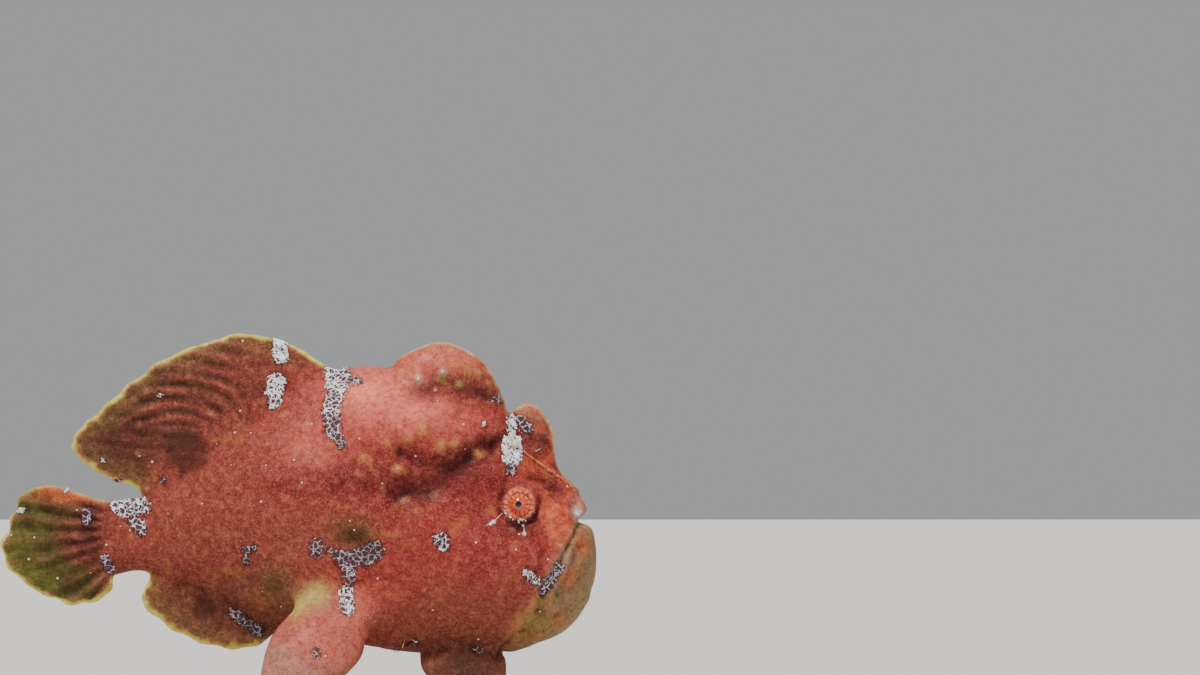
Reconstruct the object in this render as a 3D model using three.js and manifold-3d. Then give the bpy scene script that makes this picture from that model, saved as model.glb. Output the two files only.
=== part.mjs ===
// A red frogfish standing on its limb-like fins, at life size, in millimetres.
// X runs from the tail to the snout, Y to the fish's left, and Z up from the floor under its feet.
import * as THREE from 'three';
import { mergeVertices } from 'three/addons/utils/BufferGeometryUtils.js';
import Module from 'manifold-3d';

const wasm = await Module();
wasm.setup();

const GAP = 0.3; // clear space between two neighbouring pieces
const SKIN_GAP = 0.4; // growth of the trunk that leaves about GAP over its slanting skin
const FAR = 120; // beyond any point of the fish, for cutting blocks
const NUDGE = 0.02; // small step along a curve, for its direction

// Cross sections of the trunk. Each row holds the place along X, the top, the bottom, the half
// width, and the roundness of the upper and of the lower half, where 2 is an ellipse.
const TRUNK = [
  [-63, 46.5, 46.5, 0, 2, 2],
  [-58, 52, 41, 1.3, 2, 2],
  [-51, 56.6, 37, 2.7, 2, 2],
  [-43, 58, 38.2, 4.2, 2, 2.1],
  [-35, 62.4, 36.6, 6.4, 1.9, 2.1],
  [-24, 71.6, 32.6, 10, 1.75, 2.2],
  [-12, 81, 28.4, 13.6, 1.65, 2.2],
  [0, 88.6, 24, 17, 1.6, 2.2],
  [12, 93, 19.6, 20, 1.6, 2.2],
  [24, 93.1, 17, 22.2, 1.6, 2.2],
  [36, 89.4, 15.8, 23.2, 1.5, 2.2],
  [48, 83, 14.8, 23, 1.32, 2.2],
  [58, 76, 16, 21.6, 1.22, 2.2],
  [66, 69.8, 19.2, 19.2, 1.22, 2.2],
  [72, 64.4, 22, 15.8, 1.4, 2.2],
  [76.5, 58.2, 27, 11.6, 1.7, 2.1],
  [79.4, 50.2, 34.4, 6.6, 2, 2],
  [80.4, 43.7, 43.7, 0, 2, 2],
];
const TRUNK_AROUND = 28;
const TRUNK_RINGS = 2; // rings of faces between two sections
const TRUNK_WIDEST = 0.43; // share of the depth at which the trunk is widest
const MOUND = { around: 16, rings: 2, widest: 0.5 };
const BAR_BLUNTNESS = 8.8; // higher rounds off a bar's ends over a shorter length

const TORSO_FRONT_X = 23.6; // where torso and head part
const STALK_FRONT_X = -36; // where tail stalk and torso part
const TAIL_ROOT_X = -50; // where tail fin and tail stalk part

// The fleshy mounds that hide the third and the second spine of the back, in rows like the trunk's.
const THIRD_SPINE = [
  [23.9, 90, 90, 0, 2, 2],
  [26, 94.2, 82, 4.2, 1.7, 2],
  [30.1, 97.4, 76, 6.8, 1.6, 2],
  [37.4, 100.2, 70, 8.4, 1.5, 2],
  [44, 98.4, 66, 8.6, 1.5, 2],
  [49.6, 95.2, 62, 7.6, 1.5, 2],
  [53.6, 88.6, 60, 6, 1.6, 2],
  [56.4, 81.2, 62, 3.8, 1.7, 2],
  [57.6, 74, 74, 0, 2, 2],
];
const SECOND_SPINE = [
  [55.9, 76, 76, 0, 2, 2],
  [57.3, 80.2, 70, 2, 1.8, 2],
  [60, 82.8, 66, 3.2, 1.8, 2],
  [62.7, 83.2, 62, 3.6, 1.8, 2],
  [65.4, 81.7, 60, 3.4, 1.8, 2],
  [68.1, 78.1, 58, 2.5, 1.8, 2],
  [69.4, 73.5, 58, 1.9, 1.9, 2],
  [70.3, 64, 64, 0, 2, 2],
];

// The closed mouth and the fold behind the jaw, seen from the side, from the throat to the snout.
const PARTING_LINE = [
  [52.5, 6], [56.6, 17.5], [60.6, 25.2], [65.8, 31.4], [69.2, 38.4], [72.6, 45.8], [75.2, 50.8],
  [79, 52.9], [88, 55.4],
];
// The mouth alone, from the notch of the snout down to its corner.
const MOUTH = [[78.4, 52.6], [75.4, 50.8], [72.6, 45.8], [69.2, 38.4], [65.8, 31.4]];
const LIPS = { middle: 1.7, corner: 2.2 }; // radius of the swelling along both lips
const LIPS_SUNK = 1.1;
const MOUTH_GROOVE = { middle: 2.9, corner: 0.8 }; // radius of the groove between the lips
const GROOVE_OUT = 0.9;
const MOUTH_STEPS = 5; // rows from the middle of the mouth to either corner
const MOUTH_RINGS = 18;
const LIP_SPREAD = 0.6; // lower lets the corner's radius begin nearer the middle

const EYE = { x: 59, z: 55.8, ball: 3.1, out: 0.9, tilt: [0.1, -0.98, 0.12] };
const EYE_DOME = { radius: 6, sunk: 3.6, raised: 0.7, opening: 2.5, rim: 0.7, lift: 1.8 };
const EYE_FACETS = { ball: [14, 8], hollow: [12, 7], rim: [5, 14] };
const NOSTRILS = [[72.2, 57.4, 1.05], [67.6, 59, 0.9]]; // x, z, radius of the raised ring
const NOSTRIL = { facing: [0.25, -0.8, 0.55], tall: 2.6, top: 0.75 };
const NOSTRIL_PIT = { deep: 1.4, out: 1.1, top: 0.4, end: 0.3 };

// Fins as curves in the side view: where their skin starts inside the trunk, and their free edge.
// A web's half thickness is given at the root, halfway and at the edge, a ray rises above it on
// both faces, and the edge stands out by the scallop at each ray. A sweep under 1 leans the rays
// towards the end of the edge.
const RAY_TAPER = 0.15; // share of half a wave cut off a ray's swelling at either end
const SCALLOP_POWER = 6; // higher keeps the scallops nearer the edge
const SOFT_DORSAL = {
  rays: 12,
  perRay: 4,
  rows: 4,
  sweep: 0.72,
  web: [2.4, 1.5, 0.6],
  rise: 0.55,
  scallop: 0.7,
  root: [[10, 90], [0, 85.4], [-10, 79.4], [-20, 72], [-30, 64.2], [-38, 57.4]],
  edge: [
    [8, 93.8], [-4, 99.8], [-15, 101.8], [-26, 99.2], [-36.4, 94.8], [-45.6, 88], [-53.4, 81],
    [-59.4, 75.4], [-60.2, 70.4], [-54, 65], [-46, 61.4],
  ],
};
const ANAL = {
  rays: 7,
  perRay: 4,
  rows: 4,
  web: [2.2, 1.4, 0.6],
  rise: 0.5,
  scallop: 0.7,
  root: [[-1, 27.5], [-11, 30.5], [-21, 33.7], [-30, 36.8], [-37, 39.5]],
  edge: [
    [-4, 23.6], [-8, 20.1], [-14, 17.6], [-22, 18.1], [-30, 20.8], [-37, 25.2], [-42, 30.4], [-40.6, 35.6],
  ],
};
const CAUDAL = {
  rays: 9,
  perRay: 4,
  rows: 4,
  web: [2.2, 1.4, 0.6],
  rise: 0.55,
  scallop: 0.9,
  root: [[-45, 55], [-46.5, 51.2], [-47, 47.2], [-46.5, 43.2], [-44, 39.4]],
  edge: [
    [-59, 58.6], [-66.5, 60.8], [-72.2, 59.9], [-75.2, 56.6], [-76.9, 51.3], [-79.4, 45], [-77.4, 39.2],
    [-71.8, 34.2], [-64, 30.4], [-57, 29.4], [-51, 32.4],
  ],
};

// Right limbs, mirrored to the left. An arm row holds x, y, z, the half width and half thickness.
const ARM = [
  [12, -7, 34, 9, 6],
  [10.2, -15.5, 27.5, 11.8, 6.6],
  [6.2, -21.5, 20.4, 13, 5.8],
  [0.8, -26, 13.6, 10.6, 4.7],
  [-1, -29, 8.4, 9.2, 4],
  [-0.6, -31.6, 4.8, 7.4, 2.6],
];
const ARM_FACETS = [14, 8];
const WRIST_Z = 7.4;
const HAND = {
  rays: 10,
  perRay: 3,
  rows: 3,
  web: [2.6, 1.5, 0.55],
  rise: 0.5,
  scallop: 1.4,
  root: [[-7, -27.5, 6.2], [-2.2, -30, 6.6], [3, -30, 6.6], [7.6, -27.5, 6.2]],
  middle: [[-12.2, -30.4, 3.2], [-5.2, -36.6, 3.8], [4.4, -37.2, 3.8], [12.4, -31.6, 3.2]],
  edge: [
    [-16.4, -30.4, 0.65], [-13.6, -38, 0.65], [-5.6, -43.4, 0.65], [5, -44.2, 0.65], [13.2, -39.6, 0.65],
    [17.2, -31.8, 0.65],
  ],
};
const LEG = [
  [43.4, -5, 21, 9, 4.6],
  [44.2, -8.6, 15.4, 11.8, 4.8],
  [46.8, -11.8, 9.8, 10.4, 4],
  [49.8, -14.4, 5.8, 8, 3],
  [51.4, -15.4, 4.2, 5.6, 1.9],
];
const LEG_FACETS = [12, 7];
const FOOT = {
  rays: 5,
  perRay: 3,
  rows: 3,
  web: [2, 1.4, 0.55],
  rise: 0.5,
  scallop: 1.6,
  root: [[43.8, -14.6, 5.4], [49, -16, 6.2], [54.2, -13.4, 5.8]],
  middle: [[44.8, -20, 2.6], [53, -19.6, 3.4], [58.6, -13.4, 3]],
  edge: [[45.4, -24.8, 0.65], [52.8, -24.8, 0.65], [59.4, -20.4, 0.65], [62.6, -13.4, 0.65]],
};

// The lure's stalk lies back along the right side of the head. Rows hold x, z, clearance, radius.
const LURE_STALK = [
  [74.6, 58.4, -1.2, 0.75],
  [73.8, 60.8, 0.9, 0.6],
  [71.2, 62.8, 1, 0.5],
  [66.8, 65.8, 1, 0.45],
  [62.2, 69.2, 1.1, 0.4],
  [58.4, 72.4, 1.7, 0.4],
];
const LURE_FACETS = [6, 12];
const LURE_BALL = { radius: 1.3, facets: [8, 6] };
const LURE_TAG = { count: 5, length: 2.6, root: 0.45, tip: 0.26, back: 0.7, up: 0.3, spread: 0.8, sides: 5 };

const COLOURS = {
  skin: { color: '#a8452c', roughness: 0.75 },
  jaw: { color: '#9c6a32', roughness: 0.72 },
  mound: { color: '#8f4a33', roughness: 0.78 },
  fin: { color: '#a6502f', roughness: 0.7 },
  tail: { color: '#8d7a34', roughness: 0.7 },
  limb: { color: '#9b4a30', roughness: 0.74 },
  eye: { color: '#d2502a', roughness: 0.15 },
  lure: { color: '#d9c9b4', roughness: 0.6 },
};

const lerp = THREE.MathUtils.lerp;
const clamp = THREE.MathUtils.clamp;
const vec = (x, y, z) => new THREE.Vector3(x, y, z);
const join = (...solids) => solids.reduce((whole, piece) => whole.add(piece));
const mirrored = (solid) => solid.mirror([0, 1, 0]);
const turnTo = (from, to) => new THREE.Quaternion().setFromUnitVectors(from, to);
const placed = (form, spot) => solidOf(form.translate(spot.x, spot.y, spot.z));

// A smooth curve through rows of numbers, from t = 0 at the first row to t = 1 at the last.
function through(rows, t) {
  const place = clamp(t, 0, 1) * (rows.length - 1);
  const i = Math.min(Math.floor(place), rows.length - 2);
  const f = place - i;
  const row = (k) => rows[clamp(k, 0, rows.length - 1)];
  return rows[0].map((_, c) => {
    const [a, b, d, e] = [row(i - 1)[c], row(i)[c], row(i + 1)[c], row(i + 2)[c]];
    return b + 0.5 * f * (d - a + f * (2 * a - 5 * b + 4 * d - e + f * (3 * (b - d) + e - a)));
  });
}

// A closed mesh as a solid, its seams merged and its faces turned outwards.
function solidOf(geometry) {
  const bare = geometry.clone();
  bare.deleteAttribute('normal');
  bare.deleteAttribute('uv');
  const merged = mergeVertices(bare, 1e-4);
  const corners = Array.from(merged.index.array);
  const kept = [];
  for (let i = 0; i < corners.length; i += 3) {
    const [a, b, c] = corners.slice(i, i + 3);
    if (a !== b && b !== c && c !== a) kept.push(a, b, c);
  }
  const vertProperties = merged.attributes.position.array;
  const meshOf = (list) => new wasm.Mesh({ numProp: 3, vertProperties, triVerts: Uint32Array.from(list) });
  const make = (list) => new wasm.Manifold(meshOf(list));
  const made = make(kept);
  return made.volume() > 0 ? made : make(kept.reverse());
}

// The largest closed piece of a solid, so that no loose scrap stays.
function largest(solid) {
  return solid.decompose().sort((a, b) => b.volume() - a.volume())[0];
}

function block(low, high) {
  const size = vec(...high).sub(vec(...low));
  const middle = vec(...low).addScaledVector(size, 0.5);
  return solidOf(new THREE.BoxGeometry(size.x, size.y, size.z).translate(middle.x, middle.y, middle.z));
}

// A solid between two places along X.
const slice = (solid, from, to) => solid.intersect(block([from, -FAR, -FAR], [to, FAR, FAR]));

// One cross section of a lofted form at t: its place and size and the level at which it is widest.
function section(rows, t, widest) {
  const [x, top, bottom, half, upper, lower] = through(rows, t);
  return { x, top, bottom, half, upper, lower, level: lerp(bottom, top, widest) };
}

// A closed form through cross sections, grown all round by some millimetres.
function loft(rows, around, ringsPerRow, widest, grow = 0) {
  const form = new THREE.SphereGeometry(1, around, ringsPerRow * (rows.length - 1));
  const { position, uv } = form.attributes;
  for (let i = 0; i < position.count; i += 1) {
    const along = 1 - uv.getY(i);
    const cut = section(rows, along, widest);
    const angle = 2 * Math.PI * Math.round(uv.getX(i) * around) / around;
    const [c, s] = [Math.cos(angle), Math.sin(angle)];
    const power = 2 / (s > 0 ? cut.upper : cut.lower);
    const reach = s > 0 ? cut.top - cut.level : cut.level - cut.bottom;
    const atEnd = along < 1e-6 || along > 1 - 1e-6;
    const more = atEnd ? 0 : grow;
    position.setXYZ(
      i,
      cut.x + (atEnd ? grow * Math.sign(along - 0.5) : 0),
      atEnd ? 0 : Math.sign(c) * Math.abs(c) ** power * (cut.half + more),
      atEnd ? cut.level : cut.level + Math.sign(s) * Math.abs(s) ** power * (reach + more),
    );
  }
  return solidOf(form);
}

// The half width of the trunk at a place in the side view, or 0 outside its outline.
function flank(x, z) {
  let [low, high] = [0, 1];
  for (let step = 0; step < 40; step += 1) {
    const middle = (low + high) / 2;
    if (through(TRUNK, middle)[0] < x) low = middle;
    else high = middle;
  }
  const cut = section(TRUNK, low, TRUNK_WIDEST);
  const above = z > cut.level;
  const share = Math.abs(z - cut.level) / (above ? cut.top - cut.level : cut.level - cut.bottom);
  const power = above ? cut.upper : cut.lower;
  return share >= 1 ? 0 : cut.half * (1 - share ** power) ** (1 / power);
}

// A round-ended bar along rows of x, y, z, the half width along `wide` and the half thickness.
function bar(rows, wide, [sides, rings]) {
  const form = new THREE.SphereGeometry(1, sides, rings);
  const { position, uv } = form.attributes;
  const centre = (t) => vec(...through(rows, t).slice(0, 3));
  for (let i = 0; i < position.count; i += 1) {
    const t = 1 - uv.getY(i);
    const angle = 2 * Math.PI * Math.round(uv.getX(i) * sides) / sides;
    const ahead = centre(Math.min(t + NUDGE, 1)).sub(centre(Math.max(t - NUDGE, 0))).normalize();
    const across = wide.clone().addScaledVector(ahead, -wide.dot(ahead)).normalize();
    const up = ahead.clone().cross(across);
    const [, , , a, b] = through(rows, t);
    const rounding = Math.sqrt(Math.min(1, BAR_BLUNTNESS * t * (1 - t)));
    const point = centre(t)
      .addScaledVector(across, a * rounding * Math.cos(angle))
      .addScaledVector(up, b * rounding * Math.sin(angle));
    position.setXYZ(i, point.x, point.y, point.z);
  }
  return solidOf(form);
}

// A web of skin from a root curve to a free edge, with rays raised on both of its faces. A few
// columns make up one ray and its web, and both faces are split alike.
function fin({ rays, perRay, rows, sweep = 1, web, rise, scallop, root, middle, edge }) {
  const columns = perRay * rays;
  const [rootHalf, midHalf, edgeHalf] = web;
  const place = (u, v) => {
    const [a, e] = [vec(...through(root, u)), vec(...through(edge, u ** sweep))];
    if (!middle) return a.lerp(e, v);
    const m = vec(...through(middle, u)).multiplyScalar(4 * v * (1 - v));
    return m.addScaledVector(a, (1 - v) * (1 - 2 * v)).addScaledVector(e, v * (2 * v - 1));
  };
  const faces = [[], []];
  for (let i = 0; i <= columns; i += 1) {
    for (let j = 0; j <= rows; j += 1) {
      const [u, v] = [i / columns, j / rows];
      const ray = 0.5 - 0.5 * Math.cos(2 * Math.PI * rays * u);
      const along = place(u, v + NUDGE).sub(place(u, v - NUDGE)).normalize();
      const sideways = place(Math.min(u + NUDGE, 1), v).sub(place(Math.max(u - NUDGE, 0), v));
      const out = sideways.cross(along).normalize();
      const skin = v < 0.5 ? lerp(rootHalf, midHalf, 2 * v) : lerp(midHalf, edgeHalf, 2 * v - 1);
      const half = skin + ray * rise * Math.sin(Math.PI * lerp(RAY_TAPER, 1 - RAY_TAPER, v));
      const spot = place(u, v).addScaledVector(along, ray * scallop * v ** SCALLOP_POWER);
      faces[0].push(spot.clone().addScaledVector(out, half));
      faces[1].push(spot.clone().addScaledVector(out, -half));
    }
  }
  const count = faces[0].length;
  const at = (i, j, face) => face * count + i * (rows + 1) + j;
  const index = [];
  for (let i = 0; i < columns; i += 1) {
    for (let j = 0; j < rows; j += 1) {
      const corners = (face) => [[0, 0], [1, 0], [1, 1], [0, 1]].map(([m, n]) => at(i + m, j + n, face));
      const [a, b, c, d] = corners(0);
      const [e, f, g, h] = corners(1);
      index.push(a, b, c, a, c, d, e, g, f, e, h, g);
    }
  }
  const rim = [];
  for (let i = 0; i < columns; i += 1) rim.push([i, 0]);
  for (let j = 0; j < rows; j += 1) rim.push([columns, j]);
  for (let i = columns; i > 0; i -= 1) rim.push([i, rows]);
  for (let j = rows; j > 0; j -= 1) rim.push([0, j]);
  rim.forEach(([i, j], k) => {
    const [m, n] = rim[(k + 1) % rim.length];
    index.push(at(i, j, 0), at(i, j, 1), at(m, n, 1), at(i, j, 0), at(m, n, 1), at(m, n, 0));
  });
  return solidOf(new THREE.BufferGeometry().setFromPoints([...faces[0], ...faces[1]]).setIndex(index));
}

// An upright fin in the middle plane, from curves in the side view.
function uprightFin(shape) {
  const flat = (curve) => curve.map(([x, z]) => [x, 0, z]);
  return fin({ ...shape, root: flat(shape.root), edge: flat(shape.edge) });
}

// Everything in front of the parting line, moved forward by some millimetres.
function frontOf(line, forward) {
  const outline = line.map(([x, z]) => new THREE.Vector2(x + forward, z));
  const ahead = [outline.at(-1), outline[0]].map(({ y }) => new THREE.Vector2(FAR, y));
  const shape = new THREE.Shape([...outline, ...ahead]);
  const form = new THREE.ExtrudeGeometry(shape, { depth: FAR, bevelEnabled: false });
  return solidOf(form.rotateX(Math.PI / 2).translate(0, FAR / 2, 0));
}

const trunk = loft(TRUNK, TRUNK_AROUND, TRUNK_RINGS, TRUNK_WIDEST);
const aroundTrunk = loft(TRUNK, TRUNK_AROUND, TRUNK_RINGS, TRUNK_WIDEST, SKIN_GAP);

// A bar from one corner of the mouth over the snout to the other, on the skin of the trunk.
function mouthBar({ middle, corner }, out, sides) {
  const row = (t) => {
    const [x, z] = through(MOUTH, t * t);
    const radius = lerp(middle, corner, Math.abs(t) ** LIP_SPREAD);
    const aside = Math.sign(t) * Math.max(0, flank(x, z) + out);
    return [x + out * (1 - Math.abs(t)), aside, z, radius, radius];
  };
  const rows = Array.from({ length: 2 * MOUTH_STEPS + 1 }, (_, k) => row(k / MOUTH_STEPS - 1));
  return bar(rows, vec(1, 0, 0), [sides, MOUTH_RINGS]);
}

// One eye with its dome of skin, its rim and the hollow the ball sits in.
const eyeOut = vec(...EYE.tilt).normalize();
const eyeSkin = vec(EYE.x, -flank(EYE.x, EYE.z), EYE.z);
const eyeCentre = eyeSkin.clone().addScaledVector(eyeOut, EYE.out);
const ball = (radius, facets) => new THREE.SphereGeometry(radius, ...facets);
const eyeBall = placed(ball(EYE.ball, EYE_FACETS.ball), eyeCentre);
const eyeHollow = placed(ball(EYE.ball + GAP, EYE_FACETS.hollow), eyeCentre);
const rimRing = new THREE.TorusGeometry(EYE_DOME.opening + EYE_DOME.rim, EYE_DOME.rim, ...EYE_FACETS.rim);
const eyeRim = placed(
  rimRing.applyQuaternion(turnTo(vec(0, 0, 1), eyeOut)),
  eyeSkin.clone().addScaledVector(eyeOut, EYE_DOME.lift),
);
const domeCentre = eyeSkin.clone().addScaledVector(eyeOut, -EYE_DOME.sunk).add(vec(0, 0, EYE_DOME.raised));
const lids = join(placed(ball(EYE_DOME.radius, EYE_FACETS.ball), domeCentre), eyeRim);

// Nostrils as raised rings with a pit.
const nostrils = NOSTRILS.map(([x, z, radius]) => {
  const spot = vec(x, -flank(x, z), z);
  const out = vec(...NOSTRIL.facing).normalize();
  const turn = turnTo(vec(0, 1, 0), out);
  const tube = new THREE.CylinderGeometry(radius * NOSTRIL.top, radius, NOSTRIL.tall, 7);
  const { deep, out: pitOut, top, end } = NOSTRIL_PIT;
  const pit = new THREE.CylinderGeometry(radius * top, radius * end, deep, 5);
  const hollow = placed(pit.applyQuaternion(turn), spot.clone().addScaledVector(out, pitOut));
  return placed(tube.applyQuaternion(turn), spot).subtract(hollow);
});

const face = [lids, ...nostrils];
const lips = mouthBar(LIPS, -LIPS_SUNK, 8);
const groove = mouthBar(MOUTH_GROOVE, GROOVE_OUT, 6);
const headAndJaw = join(slice(trunk, TORSO_FRONT_X + GAP / 2, FAR), lips, ...face, ...face.map(mirrored))
  .subtract(join(groove, eyeHollow, mirrored(eyeHollow)));
const head = headAndJaw.subtract(frontOf(PARTING_LINE, -GAP / 2));
const lowerJaw = headAndJaw.intersect(frontOf(PARTING_LINE, GAP / 2));

const mound = (rows, grow) => loft(rows, MOUND.around, MOUND.rings, MOUND.widest, grow);
const secondSpine = mound(SECOND_SPINE).subtract(aroundTrunk);
const thirdSpine = mound(THIRD_SPINE).subtract(join(aroundTrunk, mound(SECOND_SPINE, SKIN_GAP)));

const softDorsal = uprightFin(SOFT_DORSAL).subtract(aroundTrunk);
const anal = uprightFin(ANAL).subtract(aroundTrunk);
const tailFin = slice(join(uprightFin(CAUDAL), trunk), -FAR, TAIL_ROOT_X - GAP / 2);

// A limb ends in a fan of rays whose tips rest on the floor with small flats.
const levels = (solid, from, to) => solid.intersect(block([-FAR, -FAR, from], [FAR, FAR, to]));
const limb = (rows, facets, fan) => join(bar(rows, vec(1, 0, 0), facets), fin(fan)).subtract(aroundTrunk);
const arm = limb(ARM, ARM_FACETS, HAND);
const upperArm = levels(arm, WRIST_Z + GAP / 2, FAR);
const hand = levels(arm, 0, WRIST_Z - GAP / 2);
const leg = levels(limb(LEG, LEG_FACETS, FOOT), 0, FAR);

// The lure: a thin stalk with a small ball and tags of skin at its end.
const lureRows = LURE_STALK.map(([x, z, clear, radius]) => {
  const aside = Math.max(0, flank(x, z) + clear);
  return [x, -aside, z, radius, radius];
});
const lureEnd = vec(...lureRows.at(-1).slice(0, 3));
const tags = Array.from({ length: LURE_TAG.count }, (_, i) => {
  const turn = 2 * Math.PI * i / LURE_TAG.count;
  const { length, root, tip, back, up, spread, sides } = LURE_TAG;
  const out = vec(-back, spread * Math.cos(turn), up + spread * Math.sin(turn)).normalize();
  const cone = new THREE.CylinderGeometry(tip, root, length, sides).translate(0, length / 2, 0);
  return placed(cone.applyQuaternion(turnTo(vec(0, 1, 0), out)), lureEnd);
});
const lureBall = placed(ball(LURE_BALL.radius, LURE_BALL.facets), lureEnd);
const lure = join(bar(lureRows, vec(0, 1, 0), LURE_FACETS), lureBall, ...tags).subtract(aroundTrunk);

const part = new THREE.Group();
part.name = 'frogfish';

function add(name, colour, solid) {
  const { vertProperties, triVerts } = largest(solid).getMesh();
  const geometry = new THREE.BufferGeometry();
  geometry.setAttribute('position', new THREE.BufferAttribute(vertProperties, 3));
  geometry.setIndex(new THREE.BufferAttribute(triVerts, 1));
  geometry.computeVertexNormals();
  const { color, roughness } = COLOURS[colour];
  const material = new THREE.MeshStandardMaterial({ name: colour, color, roughness, metalness: 0 });
  const mesh = new THREE.Mesh(geometry, material);
  mesh.name = name;
  part.add(mesh);
}

add('head', 'skin', head);
add('lower_jaw', 'jaw', lowerJaw);
add('torso', 'skin', slice(trunk, STALK_FRONT_X + GAP / 2, TORSO_FRONT_X - GAP / 2));
add('tail_stalk', 'skin', slice(trunk, TAIL_ROOT_X + GAP / 2, STALK_FRONT_X - GAP / 2));
add('tail_fin', 'tail', tailFin);
add('soft_dorsal_fin', 'fin', softDorsal);
add('anal_fin', 'fin', anal);
add('third_dorsal_spine', 'mound', thirdSpine);
add('second_dorsal_spine', 'mound', secondSpine);
add('lure', 'lure', lure);
add('eye_right', 'eye', eyeBall);
add('eye_left', 'eye', mirrored(eyeBall));
add('pectoral_arm_right', 'limb', upperArm);
add('pectoral_arm_left', 'limb', mirrored(upperArm));
add('pectoral_fin_right', 'fin', hand);
add('pectoral_fin_left', 'fin', mirrored(hand));
add('pelvic_fin_right', 'limb', leg);
add('pelvic_fin_left', 'limb', mirrored(leg));

export default part;
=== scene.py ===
import math

import bpy
import numpy as np
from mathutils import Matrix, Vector


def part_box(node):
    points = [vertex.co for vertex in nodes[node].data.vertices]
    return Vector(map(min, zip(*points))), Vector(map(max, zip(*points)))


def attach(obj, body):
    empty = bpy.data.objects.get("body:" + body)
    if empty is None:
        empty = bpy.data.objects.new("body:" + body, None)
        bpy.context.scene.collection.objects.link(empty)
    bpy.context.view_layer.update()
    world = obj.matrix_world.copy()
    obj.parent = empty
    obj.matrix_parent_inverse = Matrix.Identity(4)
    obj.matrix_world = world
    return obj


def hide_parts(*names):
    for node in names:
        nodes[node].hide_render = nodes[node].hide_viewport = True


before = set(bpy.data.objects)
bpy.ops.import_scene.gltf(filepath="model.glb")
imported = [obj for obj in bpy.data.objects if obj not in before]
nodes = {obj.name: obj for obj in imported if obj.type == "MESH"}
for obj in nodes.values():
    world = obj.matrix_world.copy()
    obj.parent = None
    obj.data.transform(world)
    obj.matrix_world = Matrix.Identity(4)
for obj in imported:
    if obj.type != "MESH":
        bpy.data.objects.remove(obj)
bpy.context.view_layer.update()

mm = 0.001

# A living red frogfish. Every place below is in millimetres: x from tail to snout, z up from the
# floor, and the two sides of the animal carry the same forms and markings.


def selectOnly(*pieces):
    bpy.ops.object.select_all(action="DESELECT")
    for piece in pieces:
        piece.select_set(True)
    bpy.context.view_layer.objects.active = pieces[0]


def applyModifier(piece, kind, **settings):
    selectOnly(piece)
    modifier = piece.modifiers.new(kind.title(), kind)
    for name, value in settings.items():
        setattr(modifier, name, value)
    bpy.ops.object.modifier_apply(modifier=modifier.name)


def pointsOf(piece):
    flat = np.empty(len(piece.data.vertices) * 3, np.float32)
    piece.data.vertices.foreach_get("co", flat)
    return flat.reshape(-1, 3).astype(float) / mm


def movePoints(piece, points):
    piece.data.vertices.foreach_set("co", (points * mm).astype(np.float32).ravel())
    piece.data.update()


def normalsOf(piece):
    flat = np.empty(len(piece.data.vertices) * 3, np.float32)
    piece.data.vertex_normals.foreach_get("vector", flat)
    return flat.reshape(-1, 3).astype(float)


def ease(low, high, value):  # 0 at low, 1 at high, smooth between
    t = np.clip((value - low) / (high - low), 0, 1)
    return t * t * (3 - 2 * t)


def lumps(points, size, seed):  # a smooth random field from -1 to 1, with lumps of that size
    spot = points / size + 31.7 * seed
    cell = np.floor(spot).astype(np.int64)
    part = spot - cell
    part = part * part * (3 - 2 * part)
    total = np.zeros(len(points))
    for corner in range(8):
        step = np.array([corner & 1, corner >> 1 & 1, corner >> 2 & 1])
        at = cell + step
        code = at[:, 0] * 73856093 ^ at[:, 1] * 19349663 ^ at[:, 2] * 83492791 ^ seed * 26544357
        code = (code ^ code >> 13) * 1274126177
        value = ((code ^ code >> 16) & 65535) / 32767.5 - 1
        total += value * np.prod(np.where(step == 1, part, 1 - part), axis=1)
    return total


def fromLine(points, x1, z1, x2, z2):  # distance in the side view from a short line
    along = np.array([x2 - x1, z2 - z1], float)
    rest = points[:, [0, 2]] - np.array([x1, z1])
    t = np.clip(rest @ along / max(along @ along, 1e-9), 0, 1)
    return np.linalg.norm(rest - t[:, None] * along, axis=1)


def fromRoute(points, route):  # the same from a route of several points
    return np.min([fromLine(points, *a, *b) for a, b in zip(route, route[1:])], axis=0)


# The skin: one closed surface made from copies of the flesh nodes.
skinSizes = {
    "swell": 0.2,  # closes the thin gaps between the solids
    "voxel": 0.46,
    "softPasses": 90,
    "blends": [  # x, z, their reaches, least side, passes: places softened again
        (14, 32, 22, 17, 9, 340),  # where the arm leaves the flank
        (-8, 28.5, 6, 5.5, 2, 120),  # where the anal fin begins
    ],
    "triangles": 192000,
    # the material paints shade into these furrows and a highlight onto the ridges
    "hollowPasses": 14,  # furrows are where the skin lies below a softer copy of itself
    "hollowDepth": 0.35,
    "crust": 0.3,  # how far the white patches stand out
    "eye": (59.0, 55.8),
    "mouth": [(78.4, 52.6), (75.4, 50.8), (72.6, 45.8), (69.2, 38.4), (65.8, 31.4)],
    "jawFold": [(65.8, 31.4), (60.6, 25.2), (56.6, 17.5)],
}
trunkNodes = ["head", "lower_jaw", "torso", "tail_stalk"]
fleshNodes = [name for name in nodes if not name.startswith("eye_") and name != "lure"]


def joinedFlesh():
    copies = []
    for name in fleshNodes:
        copy = bpy.data.objects.new(name + "_flesh", nodes[name].data.copy())
        bpy.context.scene.collection.objects.link(copy)
        selectOnly(copy)
        bpy.ops.object.mode_set(mode="EDIT")
        bpy.ops.mesh.select_all(action="SELECT")
        bpy.ops.mesh.remove_doubles(threshold=0.002 * mm)
        bpy.ops.object.mode_set(mode="OBJECT")
        movePoints(copy, pointsOf(copy) + skinSizes["swell"] * normalsOf(copy))
        copies.append(copy)
    selectOnly(*copies)
    bpy.ops.object.join()
    whole = copies[0]
    whole.name = whole.data.name = "frogfish_skin"
    return whole


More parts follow.
